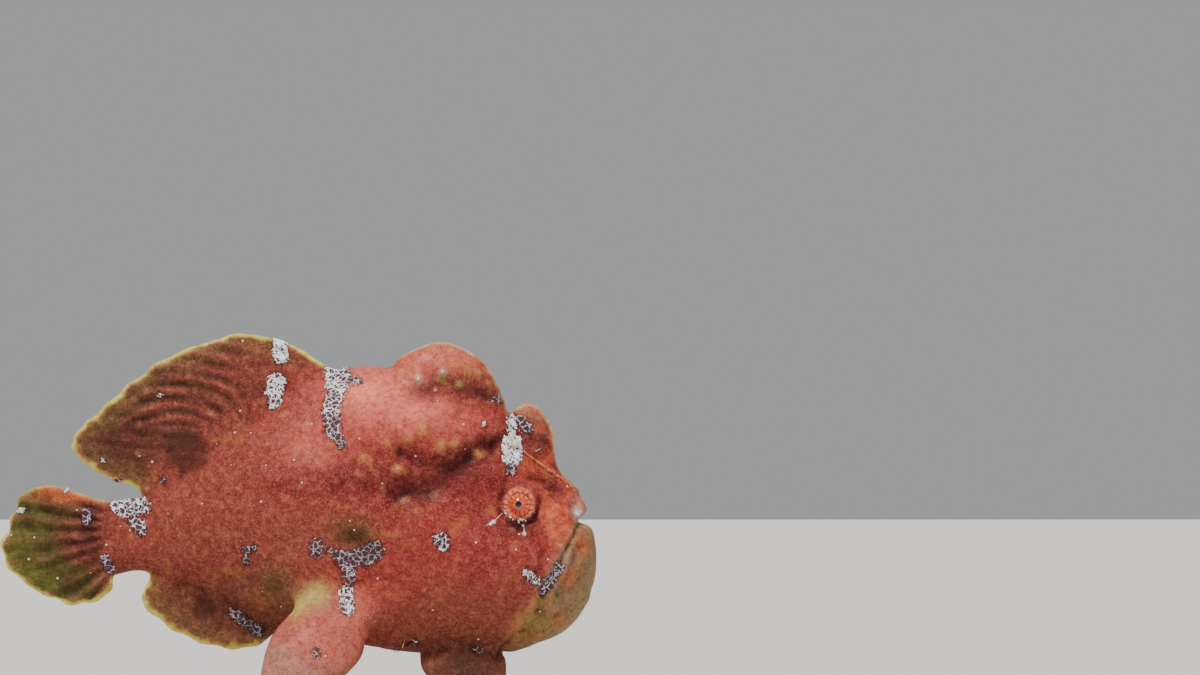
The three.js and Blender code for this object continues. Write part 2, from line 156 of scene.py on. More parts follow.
def trunkOutline():  # top, bottom and half width of the trunk's solids along its length
    points = np.vstack([pointsOf(nodes[name]) for name in trunkNodes])
    places = np.arange(-50, 80, 2.0)
    rows = [points[abs(points[:, 0] - place) < 2.4] for place in places]
    return places, *np.array([[r[:, 2].max(), r[:, 2].min(), abs(r[:, 1]).max()] for r in rows]).T


def edgesOf(piece):
    flat = np.empty(len(piece.data.edges) * 2, np.int32)
    piece.data.edges.foreach_get("vertices", flat)
    return flat.reshape(-1, 2)


def softened(points, edges, passes, weight):
    count = len(points)
    edges = edges[(weight[edges] > 0.002).any(axis=1)]
    ends = np.concatenate([edges[:, 0], edges[:, 1]])
    others = np.concatenate([edges[:, 1], edges[:, 0]])
    share = np.maximum(np.bincount(ends, minlength=count), 1)
    points = points.copy()
    for _ in range(passes):
        for axis in range(3):
            mean = np.bincount(ends, points[others, axis], count) / share
            points[:, axis] += weight * (mean - points[:, axis])
    return points


skin = joinedFlesh()
applyModifier(skin, "REMESH", mode="VOXEL", voxel_size=skinSizes["voxel"] * mm)
print("skin: remeshed to", len(skin.data.vertices), "points")

places, trunkTop, trunkBottom, trunkHalf = trunkOutline()


def zones(points):
    x, y, z = points.T
    side = abs(y)
    top, bottom = np.interp(x, places, trunkTop), np.interp(x, places, trunkBottom)
    half = np.interp(x, places, trunkHalf)
    inTrunk = ease(-1, 3, top - z) * ease(-1, 3, z - bottom) * ease(-54, -48, x)
    eyeX, eyeZ = skinSizes["eye"]
    fromEye = np.hypot(x - eyeX, z - eyeZ) + 40 * (side < 6)
    fromMouth = fromRoute(points, skinSizes["mouth"])
    return {"side": side, "top": top, "bottom": bottom, "half": half, "trunk": inTrunk,
            "eye": fromEye, "mouth": fromMouth}


points = pointsOf(skin)
zone = zones(points)
limb = ease(1, 4, points[:, 2]) * ease(8, 12, zone["side"]) * (1 - zone["trunk"])
mound = ease(20, 26, points[:, 0]) * ease(-2, 0, points[:, 2] - zone["top"])
freely = np.clip(zone["trunk"] + 0.45 * limb + 0.3 * mound, 0.06, 1)
above, below = points[:, 2] - zone["top"], zone["bottom"] - points[:, 2]
finRoot = ease(9, 3, above) * ease(-3, 1, above) * ease(14, 8, points[:, 0])
finRoot += ease(8, 3, below) * ease(-3, 1, below) * ease(0, -6, points[:, 0])
freely = np.maximum(freely, 0.9 * np.clip(finRoot, 0, 1) * ease(-50, -44, points[:, 0]))
freely *= 1 - 0.94 * (1 - ease(5.4, 7.5, zone["eye"]))
freely *= 1 - 0.9 * (1 - ease(2, 4.5, zone["mouth"]))
points = softened(points, edgesOf(skin), skinSizes["softPasses"], 0.5 * freely)
for cx, cz, rx, rz, least, passes in skinSizes["blends"]:
    away = np.hypot((points[:, 0] - cx) / rx, (points[:, 2] - cz) / rz)
    weight = 0.8 * ease(1.1, 0.6, away) * ease(least, least + 5, abs(points[:, 1]))
    points = softened(points, edgesOf(skin), passes, weight)
movePoints(skin, points)
print("skin: softened")

# The relief of the skin, with all that a sculptor would change.
relief = {
    "unevenness": [(0.4, 13, 1), (0.26, 5.5, 2), (0.13, 2.4, 3)],  # height, size, seed
    "swellings": [  # x, z, radius along x, radius along z, height
        # the lobe of the nape
        (36, 77.5, 14, 6, 2.1), (46, 73.5, 6, 4.5, 1.2), (29.5, 74, 5, 4.5, 1.1),
        (20, 79, 8, 8, 0.9),
        # the flank and the cheek
        (14, 78, 10, 8, 0.5), (2, 56, 14, 9, 0.5), (24, 52, 10, 7, 0.5),
        (57, 42, 8, 8, 0.9), (46, 36, 12, 10, 0.7), (66, 25, 5, 4, 0.6), (77, 41, 4, 6, 0.5),
        # the shoulder over the arm, and the brow
        (9, 38, 13, 6, 0.9), (62, 60.5, 4, 3, 0.5),
        # the folds of the chin
        (76.6, 45.4, 2.2, 3, 0.5), (72.6, 36.4, 2.6, 3.4, 0.5), (67.4, 36.6, 1.4, 3.4, 0.4),
    ],
    "lip": {"middle": (69.4, 51.2), "size": (4.2, 6.6), "lean": -0.18, "height": 1.0},
    "notch": (77.6, 51.6, 1.5, 2.1),  # the mouth's cut in the profile: x, z, radius, depth
    "mouthCut": (1.0, 0.6),  # width, depth
    "creases": [  # route in the side view, width, depth
        # under the nape
        ([(27.7, 70.1), (33.8, 67.4), (41.9, 66.6), (46, 69), (52.5, 72.4)], 2.8, 1.2),
        ([(46, 68), (40, 64.5), (34, 60.5), (26, 59)], 5, 1.3),
        ([(52.5, 72.4), (56, 74.6)], 2, 0.5),
        # behind the eye
        ([(55.2, 62.6), (50.6, 58.6), (47.6, 52)], 3, 0.6),
        # from the mouth to the throat, and behind the corner of the mouth
        ([(65.1, 32.3), (65, 27.8), (60.4, 21.6), (54.4, 16)], 2.4, 1.2),
        ([(65.6, 43.4), (64.6, 39), (61.4, 36.4)], 1.8, 0.6),
        # under the lower lip
        ([(69.4, 32.4), (72.4, 37), (75.4, 44.6)], 1.5, 0.55),
        ([(66.6, 30), (70.4, 31.6), (75, 36)], 1.3, 0.45),
        ([(64, 27), (69, 26), (74.6, 30)], 1.5, 0.4),
        # the hollow behind the arm
        ([(-9, 30.5), (-5, 28.6), (-2, 27.6)], 3.4, 0.5),
        # the throat
        ([(60, 20.5), (66, 23.5), (72, 27.5)], 1.4, 0.3),
        # the hollow before the brow
        ([(68.6, 59.6), (66.4, 62.4), (63, 63.4)], 2.2, 0.8),
    ],
    "warts": [  # x, z, radius, height
        (38.7, 91.5, 1.5, 1.2), (32.2, 89.9, 1.1, 0.8), (36.8, 86.7, 0.9, 0.6),
        (43.3, 88.3, 1.2, 0.8), (27.4, 91.8, 1, 0.5), (31.1, 93.5, 1, 0.5), (48.5, 91.3, 1, 0.6),
        (51.2, 88.6, 1, 0.5), (29, 73.6, 2, 0.9), (37.9, 71.7, 1.9, 0.9), (41.6, 72.3, 1.7, 0.8),
        (48.4, 69.7, 1.8, 0.8), (33.2, 75.6, 1.6, 0.6), (44.4, 76, 1.6, 0.5),
        (23.4, 72.4, 1.6, 0.5),
        (17.6, 68.6, 1.4, 0.5), (26.6, 65.5, 1.2, 0.9), (60.3, 48.1, 0.9, 0.8),
        (68.9, 55.2, 1, 0.4),
        (75.6, 54.8, 1.1, 0.6), (73.6, 56.8, 0.8, 0.4), (10, 62, 1, 0.5), (5, 67, 0.9, 0.4),
        (-16, 60, 1, 0.4),
    ],
    "scattered": {  # small warts anywhere on the flank
        "count": 260, "x": (-45, 78), "z": (18, 100), "radius": (0.6, 1.1), "height": (0.12, 0.36),
    },
    "lureBed": {"route": [(61.7, 68.3), (70.6, 62.9), (74.7, 59.4)], "wide": 1.5, "height": 0.35},
    "rays": {  # the fan of the tail, in degrees
        "middle": (-36, 48.9), "apart": 8.7, "first": 170, "height": 0.26,
    },
    "streaks": {  # the rays of the back fin, which bend more towards its top
        "bend": (0.034, 0.006), "from": (74, 94), "middle": -34, "apart": 3.5, "height": 0.12,
    },
    "lids": {"out": 3.7, "wide": 0.75, "height": 0.3, "wave": 0.2, "waves": 17},
    "lidFurrow": (5.3, 0.9, 0.35),  # round the lids: how far out, width, depth
}


def lipShape(points):  # 0 in the middle of the upper lip's bulge, 1 on its outline
    x, _, z = points.T
    (cx, cz), (rx, rz) = relief["lip"]["middle"], relief["lip"]["size"]
    return np.hypot((x - cx - relief["lip"]["lean"] * (z - cz)) / rx, (z - cz) / rz)


def tailRay(points):  # 1 in a furrow between two rays of the tail, -1 on a ray
    (cx, cz), apart = relief["rays"]["middle"], relief["rays"]["apart"]
    angle = np.degrees(np.arctan2(points[:, 2] - cz, points[:, 0] - cx)) % 360
    angle = angle + 0.9 * lumps(points, 5, 21) - relief["rays"]["first"]
    return np.cos(angle * 2 * math.pi / apart)


def dorsalRay(points):  # the same for the back fin
    streaks = relief["streaks"]
    bend = np.interp(points[:, 2], streaks["from"], streaks["bend"])
    arc = points[:, 2] + bend * (points[:, 0] - streaks["middle"]) ** 2 + 0.9 * lumps(points, 7, 11)
    return np.sin(arc * 2 * math.pi / streaks["apart"])


def finZones(points, zone):  # where the tail fin and the back fin are, both free of the trunk
    tail = ease(-50, -56, points[:, 0]) * ease(64.6, 62.8, points[:, 2])
    dorsal = ease(-1, 2, points[:, 2] - zone["top"]) * ease(14, 6, points[:, 0]) * (1 - tail)
    return tail, dorsal


def sculpt(points, normals, zone, mound):
    x, y, z = points.T
    height = sum(high * lumps(points, size, seed) for high, size, seed in relief["unevenness"])
    height *= 0.25 + 0.75 * np.clip(zone["trunk"] + mound, 0, 1)
    for cx, cz, rx, rz, high in relief["swellings"]:
        height += high * np.exp(-((x - cx) / rx) ** 2 - ((z - cz) / rz) ** 2)
    lip = lipShape(points)
    height += relief["lip"]["height"] * ease(1.3, 0.3, lip + 0.2 * lumps(points, 2.6, 23))
    bed = relief["lureBed"]
    height += bed["height"] * np.exp(-(fromRoute(points, bed["route"]) / bed["wide"]) ** 2)
    tail, dorsal = finZones(points, zone)
    height -= relief["rays"]["height"] * tail * tailRay(points)
    streak = relief["streaks"]["height"] * dorsal * dorsalRay(points)
    height -= streak * ease(74, 80, z) * ease(-54, -46, x)
    for route, wide, deep in relief["creases"]:
        height -= deep * np.exp(-(fromRoute(points, route) / wide) ** 2 * 2)
    draw = np.random.default_rng(7)
    small = relief["scattered"]
    scattered = []
    while len(scattered) < small["count"]:
        scattered.append([draw.uniform(*small[key]) for key in ("x", "z", "radius", "height")])
    for cx, cz, radius, high in relief["warts"] + scattered:
        height += high * np.exp(-((x - cx) ** 2 + (z - cz) ** 2) / radius ** 2)
    lids = relief["lids"]
    around = np.arctan2(z - skinSizes["eye"][1], x - skinSizes["eye"][0])
    waves = np.cos(lids["waves"] * around + 1.5 * lumps(points, 3, 4))
    ring = np.exp(-((zone["eye"] - lids["out"]) / lids["wide"]) ** 2)
    height += ring * (lids["height"] + lids["wave"] * waves)
    out, wide, deep = relief["lidFurrow"]
    height -= deep * np.exp(-((zone["eye"] - out) / wide) ** 2)
    wide, deep = relief["mouthCut"]
    height -= deep * np.exp(-(zone["mouth"] / wide) ** 2) * (0.5 + 0.5 * ease(48, 40, z))
    height *= 1 - 0.9 * (1 - ease(3.1, 3.7, zone["eye"]))  # the inside of the socket stays
    height *= ease(0.3, 2.5, z)  # the soles stay flat
    points = points + height[:, None] * normals
    notchX, notchZ, wide, deep = relief["notch"]
    fromNotch = np.hypot(points[:, 0] - notchX, points[:, 2] - notchZ)
    points[:, 0] -= deep * np.exp(-(fromNotch / wide) ** 2)
    points[:, 2] = np.maximum(points[:, 2], 0)
    return points


def insetMap(points, cell=0.7):  # how deep a place lies inside the side view's outline
    low = points[:, [0, 2]].min(axis=0) - 3 * cell
    cells = ((points[:, [0, 2]] - low) / cell).astype(int)
    filled = np.zeros(cells.max(axis=0) + 6, bool)
    filled[cells[:, 0], cells[:, 1]] = True
    depth = np.zeros(filled.shape)
    for _ in range(18):
        depth += filled
        for axis in (0, 1):
            filled = filled & np.roll(filled, 1, axis) & np.roll(filled, -1, axis)
    for axis in (0, 1, 0, 1):
        depth = (np.roll(depth, 1, axis) + 2 * depth + np.roll(depth, -1, axis)) / 4
    return low, cell, depth * cell


def insetAt(points, outline):
    low, cell, depth = outline
    spot = (points[:, [0, 2]] - low) / cell - 0.5
    whole = np.clip(np.floor(spot).astype(int), 0, np.array(depth.shape) - 2)
    part = np.clip(spot - whole, 0, 1)
    (a, b), (i, j) = part.T, whole.T
    low, high = (depth[i, k] * (1 - a) + depth[i + 1, k] * a for k in (j, j + 1))
    return low * (1 - b) + high * b


zone = zones(points)
points = sculpt(points, normalsOf(skin), zone, mound)
movePoints(skin, points)
outline = insetMap(points)
ratio = min(1, skinSizes["triangles"] / (2 * len(skin.data.polygons)))
applyModifier(skin, "DECIMATE", ratio=ratio, use_collapse_triangulate=True)
selectOnly(skin)
bpy.ops.object.shade_smooth()
print("skin: sculpted,", len(skin.data.polygons), "triangles")

# The markings, as shapes in the side view.
markings = {
    # x1, z1, x2, z2, radius, chalk: raised patches of white lace, solid where chalk is 1
    "scabs": [
        (10.4, 93.5, 10.3, 88.2, 3.1, 0.5), (10.3, 88.2, 8.7, 80.9, 2.2, 0.3),
        (8.7, 80.9, 9.2, 76, 2.2, 0.1), (9.5, 75.5, 11.4, 72.2, 1.3, 0),
        (13.8, 89.6, 15.7, 89.3, 1.1, 0.1), (-5.8, 89.1, -6.6, 86.4, 2.4, 0.8),
        (-6.6, 85.3, -6.4, 83.2, 1.7, 0.3), (-5.3, 101.6, -4.8, 95.9, 1.9, 1),
        (-48.9, 55.4, -41.6, 56.2, 1.7, 0.4), (-46.4, 54, -41.3, 55.1, 1.7, 0.3),
        (-44.2, 51.9, -42.3, 49.4, 1.7, 0.2), (-56.9, 53.5, -56.9, 51.6, 1.3, 0),
        (-52, 41.3, -50.4, 38.4, 1.1, 0), (5, 45.2, 5, 43.6, 1.7, -0.1),
        (7.9, 43.9, 10.6, 43.1, 0.7, 0), (11.1, 41.7, 14.8, 41.2, 1.7, -0.1),
        (13, 40.7, 13.3, 37.5, 1.9, 0.1), (14.3, 42.3, 20.7, 44.4, 1.8, -0.1),
        (18, 41.2, 21.2, 43.3, 1.8, -0.1), (14.1, 35.9, 13, 33.2, 1, 0),
        (12.7, 32.7, 13, 28.5, 1.9, 0.6), (38, 46.6, 38.5, 45.8, 1.9, 0.3),
        (57.5, 78.9, 57.9, 73.5, 1.3, 1), (57.6, 72.4, 57.5, 69.1, 2.8, 0.9),
        (59.6, 78.9, 62, 76.7, 1.2, 0.1), (57.2, 66.4, 57.1, 65, 1.2, 0),
        (53.6, 84.3, 53.6, 84, 0.9, 0.2), (-17.3, 26.8, -10.6, 21.9, 1.4, -0.1),
        (-14.5, 44.1, -11.9, 44.4, 0.8, -0.2), (-13.5, 43.8, -14, 40.6, 0.8, -0.2),
        (-36.8, 62.9, -36.5, 62.6, 1.1, -0.2), (4.5, 16.9, 4.7, 16.7, 1.1, 0),
        (31.3, 19.1, 31.6, 18.8, 0.7, 0.2), (47.9, 17, 48.2, 16.7, 1, -0.1),
        (60.8, 37.7, 64, 35.3, 1.1, 0.3), (65.7, 33.1, 69.8, 39.3, 1.2, 0.1),
        (-74.7, 54.5, -74.4, 54.5, 0.8, 1), (-62.3, 60.2, -62.3, 59.7, 0.6, 1),
        (-37.4, 85.6, -37.1, 85.6, 0.6, 1), (-52.7, 68, -52.4, 68, 0.7, 0.4),
        # the solid white dot at x 49.8, z 77.8 is a painted highlight
        (-49.4, 62.4, -48.9, 62.6, 0.8, 0.2), (49.8, 77.8, 50, 77.8, 0.6, 1),
    ],
    # x, z, radius along x, radius along z, strength
    "spots": [
        (-30, 70.2, 6, 6.4, 0.7), (-32.4, 73.6, 4, 2, 0.4), (-25.1, 28.1, 3.4, 3.6, 0.5),
        (-67.9, 55.9, 2.3, 2.8, 0.6), (-72.5, 51.9, 1.8, 2.5, 0.45), (-61.2, 34.1, 3.2, 2.6, 0.5),
        (-56.3, 47.3, 1.2, 2.4, 0.5), (-57, 52.5, 2.6, 2.6, 0.3), (-51.2, 40, 2.4, 2.4, 0.3),
    ],
    # soft patches laid over each other: colour, strength, x, z, radius along x, radius along z
    # on the flank the pink and rose patches are a painted highlight where the top light falls, and
    # the deepRed patches are painted shade on the mid flank and below the lobe of the nape
    "flankHighlightsAndShade": [
        ("rose", 0.6, 20, 77, 11, 5), ("pink", 1, 19, 86.5, 11, 6.5), ("deepRed", 0.6, 1, 62, 9, 6),
        ("pink", 0.75, 33, 81.5, 10, 5), ("rose", 0.6, 45, 79, 8, 4), ("pink", 0.4, 4, 72, 9, 8),
        ("deepRed", 0.7, 52, 60, 11, 7), ("deepRed", 0.7, 26, 60, 20, 6),
    ],
    "cheekPatches": [
        # the two maroon patches are painted shade under the lobe of the nape
        ("maroon", 0.5, 17, 62.4, 13, 4.6), ("maroon", 0.4, 50.6, 70.4, 4, 3),
        ("coral", 0.6, 32, 44, 14, 8), ("tan", 0.4, 0, 46, 12, 8), ("orange", 0.45, 62, 68, 6, 4),
        ("deepRed", 0.4, 52, 47, 6, 6),
    ],
    "snoutPatches": [
        # the maroon patch at x 68.8, z 61 is painted shade in the hollow before the brow
        ("sand", 0.25, 75.4, 56.4, 2, 2.4), ("orange", 0.7, 77.4, 56, 1.4, 1.5),
        ("frost", 0.85, 75.4, 53.8, 1.4, 1.3), ("maroon", 0.75, 68.8, 61, 2, 2),
    ],
    "limbPatches": [
        # the maroon patch at x -5, z 27 is painted shade in the hollow behind the arm; the umber
        # and bark patches at x 46 are the pelvic fins' darker brown with painted shade under the
        # belly
        ("clay", 0.4, 3, 31, 4, 3), ("maroon", 0.4, -5, 27, 3.4, 2), ("umber", 0.9, 46, 11, 12, 9),
        ("bark", 0.6, 46, 12, 10, 6), ("ochre", 0.35, -8, 31, 5, 4),
        ("olive", 0.8, 14, 48.7, 6.4, 4.8),
        ("bark", 0.8, 14.4, 48, 5.8, 3.8), ("olive", 0.7, -6.4, 34.8, 4.6, 4.8),
        ("bark", 0.3, -5.6, 33.6, 3.6, 3.6), ("rose", 0.4, 24, 33, 8, 6),
    ],
    "underEyePatches": [("maroon", 0.85, 58.8, 50, 5, 2), ("bark", 0.5, 60, 50.4, 3, 1.4)],
    # amber warts: x, z; the amber is partly the warts' own colour and partly a painted highlight on
    # their tops
    "amber": [
        (29, 73.6), (38, 71.8), (41.6, 72.4), (48.4, 69.7), (33.2, 75.6), (23.4, 72.4),
        (17.6, 68.6), (26.6, 65.5), (27.4, 91.8), (31, 93.4), (48.5, 91.3), (51.4, 88.4),
    ],
    # single warts of the hump: x, z, colour
    "humpWarts": [
        (38.7, 91.5, "mist"), (38.6, 90, "green"), (32.2, 89.9, "sand"), (43.3, 88.3, "green"),
    ],
    # red patches of the jaw: x, z, radius along x, radius along z, strength
    "jawReds": [
        (76.6, 45.1, 2, 3.2, 0.8), (72.6, 36.6, 2.4, 3, 0.65), (69, 25, 3, 2.6, 0.5),
        (63.4, 21, 3, 2, 0.5),
    ],
    # painted shade along the folds under the nape, and the bare skin behind the lips
    "longFoldShade": [(50, 71), (45.5, 68.5), (40, 64.5), (34, 60.5), (24, 58.6)],
    "shortFoldShade": [(27, 69.4), (34, 66.8), (42, 66)],
    "behindLip": [(65.5, 33), (68.4, 37), (71.4, 41.4)],
}
colours = {
    "coral": "#9c3832", "deepRed": "#74191c", "maroon": "#451216", "wine": "#5b2a2c",
    "pink": "#ff8672", "rose": "#c8564a", "salmon": "#d0685a", "orange": "#d5603a",
    "lid": "#f27f60", "brick": "#8a4232", "tan": "#96563f", "umber": "#5c382a", "bark": "#3f211b",
    "ochre": "#c07a3c", "amber": "#d9964a", "olive": "#766436", "moss": "#4f4a22",
    "green": "#6f7a2e", "lime": "#e2ee5a", "straw": "#e6cf92", "sand": "#e0c2a0",
    "clay": "#a58672", "mist": "#aeab98", "frost": "#d8d3dc",
}


def linear(code):
    parts = np.array([int(code[k:k + 2], 16) for k in (1, 3, 5)]) / 255
    return np.where(parts <= 0.04045, parts / 12.92, ((parts + 0.055) / 1.055) ** 2.4)


def paintSkin(points, zone):
    x, y, z = points.T
    side, top, bottom = zone["side"], zone["top"], zone["bottom"]
    wobble = lumps(points, 9, 11)
    mottle = lumps(points, 4, 12)
    base = np.tile(linear(colours["coral"]), (len(points), 1))

    def tint(name, amount):
        share = np.clip(amount, 0, 1)[:, None]
        base[:] = base * (1 - share) + linear(colours[name]) * share

    def patch(name, strength, cx, cz, rx, rz):
        near = np.exp(-((x - cx) / rx) ** 2 - ((z - cz) / rz) ** 2)
        tint(name, strength * near * (1 + 0.3 * mottle))

    def patches(which):
        for row in markings[which]:
            patch(*row)

    tail, dorsal = finZones(points, zone)
    anal = ease(1, -2, z - bottom) * ease(2, -2, x) * ease(6, 3, side)
    inset = insetAt(points, outline) + 0.35 * lumps(points, 1.7, 24)

    # the body: browner towards the tail and low on the belly
    tint("deepRed", 0.3 * ease(-0.1, 0.7, mottle) + 0.3 * ease(0, 0.8, wobble))
    tint("brick", 0.75 * ease(18, -26, x + 6 * wobble))
    tint("tan", 0.55 * ease(40, 28, z + 5 * wobble) * ease(-50, -20, x))
    tint("umber", 0.45 * ease(44, 30, z + 5 * wobble) * ease(14, -10, x))
    tint("umber", 0.45 * ease(26, 17, z) * ease(22, 34, x))
    # painted highlight on the upper flank and painted shade below it
    patches("flankHighlightsAndShade")
    # painted shade in the folds under the nape
    foldShade = np.exp(-(fromRoute(points, markings["longFoldShade"]) / 4.2) ** 2)
    tint("maroon", 0.8 * foldShade * ease(20, 30, x) * (1 + 0.3 * mottle))
    tint("maroon", 0.5 * np.exp(-(fromRoute(points, markings["shortFoldShade"]) / 2.8) ** 2))
    patches("cheekPatches")
    # amber on the warts: their own colour with a painted highlight on their tops
    for cx, cz in markings["amber"]:
        patch("amber", 0.6, cx, cz, 1.5, 1.1)
    freckles = ease(0.5, 0.85, lumps(points, 3.2, 40))
    tint("amber", 0.2 * freckles * ease(-52, -44, x) * ease(24, 34, z))

    # the back fin, whose colour begins gradually, and the anal fin
    above = dorsal * ease(-1, 9, z - top + 2 * wobble)
    tint("umber", (0.7 + 0.2 * mottle) * above)
    tint("bark", 0.5 * above * ease(-32, -46, x))
    tint("brick", 0.5 * above * ease(-30, -12, x) * ease(84, 92, z))
    # painted shade in the furrows between the back fin's rays and a painted highlight along the
    # rays
    ray = dorsalRay(points) * above * ease(-52, -44, x) * ease(-8, -20, x) * ease(74, 80, z)
    broken = ease(-0.5, 0.7, lumps(points, 6, 18)) * ease(2, 6, inset)
    tint("bark", 0.75 * ease(0.2, 1, ray) * broken)
    tint("rose", 0.3 * ease(-0.3, -0.9, ray) * broken)
    tint("olive", 0.45 * dorsal * ease(7, 2, inset + 1.5 * mottle) * ease(4, -10, x))
    tint("umber", 0.35 * anal * ease(0, 7, bottom - z))
    tint("olive", 0.5 * anal * ease(6, 2, inset + 1.2 * mottle))
    patch("bark", 0.4, -24.5, 28.5, 3, 3.4)

    # the hump, with a dark band below its top, and the second spine
    hump = ease(22, 27, x) * ease(-6, 4, z - top)
    tint("ochre", 0.55 * hump * ease(2, 8, z - top) * ease(-0.6, 0.4, lumps(points, 2.6, 19)))
    tint("olive", 0.45 * hump * ease(5, 9, z - top) * ease(0, 0.7, lumps(points, 3.4, 25)))
    patch("pink", 0.5, 38, 96, 11, 4)
    patch("pink", 0.3, 30, 92, 5, 4)
    band = np.exp(-((z - 88.6 + 0.24 * abs(x - 40)) / 2.8) ** 2) * ease(27, 33, x) * ease(58, 52, x)
    tint("bark", 0.7 * band * (1 + 0.5 * lumps(points, 5, 13)))
    patch("maroon", 0.55, 46, 87, 6, 4)
    second = ease(56, 58, x) * ease(0, 3, z - top)
    tint("wine", 0.75 * second * ease(83, 79, z) * ease(67, 71, z))
    tint("ochre", 0.5 * second * ease(79, 82, z))
    patch("wine", 0.6, 63.5, 74.5, 4.5, 6)
    tint("amber", 0.5 * second * ease(1.8, 0.4, inset))
    for cx, cz, name in markings["humpWarts"]:
        tint(name, 0.8 * np.exp(-((x - cx) ** 2 + (z - cz) ** 2) / 1.3))

    # the tail: dark furrows near the stalk, green outside, orange along the top
    fan = tailRay(points)
    fromStalk = np.hypot(x + 47, z - 48) + 3 * (z < 40)
    tint("brick", 0.5 * tail)
    tint("umber", tail * (0.5 + 0.25 * ease(7, 14, fromStalk)))
    tint("maroon", 0.5 * tail * ease(17, 8, fromStalk))
    furrow = ease(0.1, 0.9, fan) * ease(-0.8, 0.4, lumps(points, 5, 33)) * ease(3, 7, fromStalk)
    tint("bark", 0.8 * tail * furrow * ease(20, 13, fromStalk) * ease(34, 38, z))
    tint("brick", 0.3 * tail * ease(-0.2, -0.9, fan) * ease(9, 14, fromStalk))
    tint("moss", 0.95 * tail * ease(13, 20, fromStalk + 2.5 * mottle))
    tint("green", 0.5 * tail * ease(20, 28, fromStalk + 3 * wobble) * ease(-0.9, 0.6, mottle))
    fineRay = np.cos(2.4 * np.arccos(np.clip(fan, -1, 1)))
    tint("moss", 0.5 * tail * ease(0.2, 0.9, fineRay) * ease(18, 22, fromStalk))
    tint("orange", 0.7 * tail * ease(55.4, 58, z) * ease(-74, -66, x))

    # the jaw, the lips and the snout
    jaw = ease(-1.5, 2.5, (x - 56.6) * 0.85 - (z - 17.5) * 0.42) * ease(54, 50, z) * ease(13, 17, z)
    tint("olive", 0.85 * jaw)
    tint("green", 0.3 * jaw * ease(-0.2, 0.6, lumps(points, 4.6, 26)))
    tint("clay", 0.3 * jaw)
    for cx, cz, rx, rz, share in markings["jawReds"]:
        patch("orange", share, cx, cz, rx, rz)
        patch("deepRed", 0.4 * share, cx, cz, rx, rz)
    tint("amber", 0.3 * ease(3.4, 1.2, fromRoute(points, skinSizes["jawFold"])))
    patch("green", 0.5, 64, 24, 5, 4)
    lip = ease(1.25, 0.6, lipShape(points) + 0.3 * lumps(points, 2.2, 27))
    tint("orange", 0.85 * lip)
    tint("deepRed", 0.5 * lip * ease(-0.1, 0.7, lumps(points, 1.7, 28)))
    # a painted highlight on the bulge of the upper lip
    tint("sand", 0.6 * np.exp(-((x - 70) / 1) ** 2 - ((z - 45.2) / 0.7) ** 2))
    snout = ease(60, 66, x) * ease(54, 58, z) * (1 - lip)
    tint("orange", 0.5 * snout * ease(-0.2, 0.6, lumps(points, 2.4, 29)))
    tint("maroon", 0.6 * snout * ease(0, 0.7, lumps(points, 2, 30)))
    fromLip = fromRoute(points, markings["behindLip"])
    tint("clay", 0.6 * ease(2.8, 0.8, fromLip + 0.8 * lumps(points, 1.4, 31)))
    # painted shade along the lower part of the mouth's cut
    tint("bark", 0.6 * np.exp(-(zone["mouth"] / 0.6) ** 2) * ease(45, 39, z))
    patches("snoutPatches")
    tint("green", 0.2 * jaw * ease(8, 3, inset))
    tint("straw", 0.3 * jaw * ease(1.2, 0.4, inset) * ease(16, 22, z))

    # the arms and the fins under the throat
    fromArm = fromLine(points, 13, 36, -2, 10)
    arm = ease(17, 8, fromArm) * ease(38, 26, z) * ease(14, 20, side)
    tint("salmon", 0.6 * arm)
    # a painted highlight on the upper part of the arm, where the top light falls
    tint("pink", 0.4 * arm * ease(-0.4, 0.5, wobble) * ease(10, 4, fromArm) * ease(16, 22, z))
    tint("clay", 0.6 * arm * ease(20, 13, z + 2 * wobble + 0.35 * x))
    fromPit = fromLine(points, -1.4, 28.4, 5.5, 32.6)
    tint("lime", 0.5 * np.exp(-(fromPit / 2.6) ** 2) * ease(12, 16, side))
    patches("limbPatches")

    # the lids with their dark slits
    eyeSkin = ease(4.7, 4, np.hypot(x - 59.2, z - 56.3)) * (side > 6)
    aroundEye = np.arctan2(z - 55.6, x - 58.8)
    slits = ease(0.3, 0.9, np.sin(17 * aroundEye + 1.6 * lumps(points, 2, 20)))
    tint("lid", eyeSkin)
    tint("maroon", 0.65 * eyeSkin * slits)
    patches("underEyePatches")

    # the pale rims of the fins, the hump, the second spine and the brow; the fins' lime rim is
    # their own colour painted brighter, a painted glow of light through the thin margin
    fins = np.clip(dorsal + anal + tail, 0, 1) * ease(7, 4, side)
    upper = 1 - 0.6 * ease(52, 56, z) * tail
    tint("ochre", 0.3 * fins * ease(2.1, 1.2, inset) * (1 - tail))
    # painted glow: the lime margin is brighter than its own colour
    tint("lime", 0.95 * fins * ease(1.6 - 0.2 * tail, 0.8, inset) * upper)
    brow = ease(62, 66, x) * ease(56, 58, z)
    rim = np.clip(hump * ease(2, 5, z - top) + second + 0.5 * brow, 0, 1)
    tint("straw", 0.65 * ease(1.3, 0.5, inset) * rim)

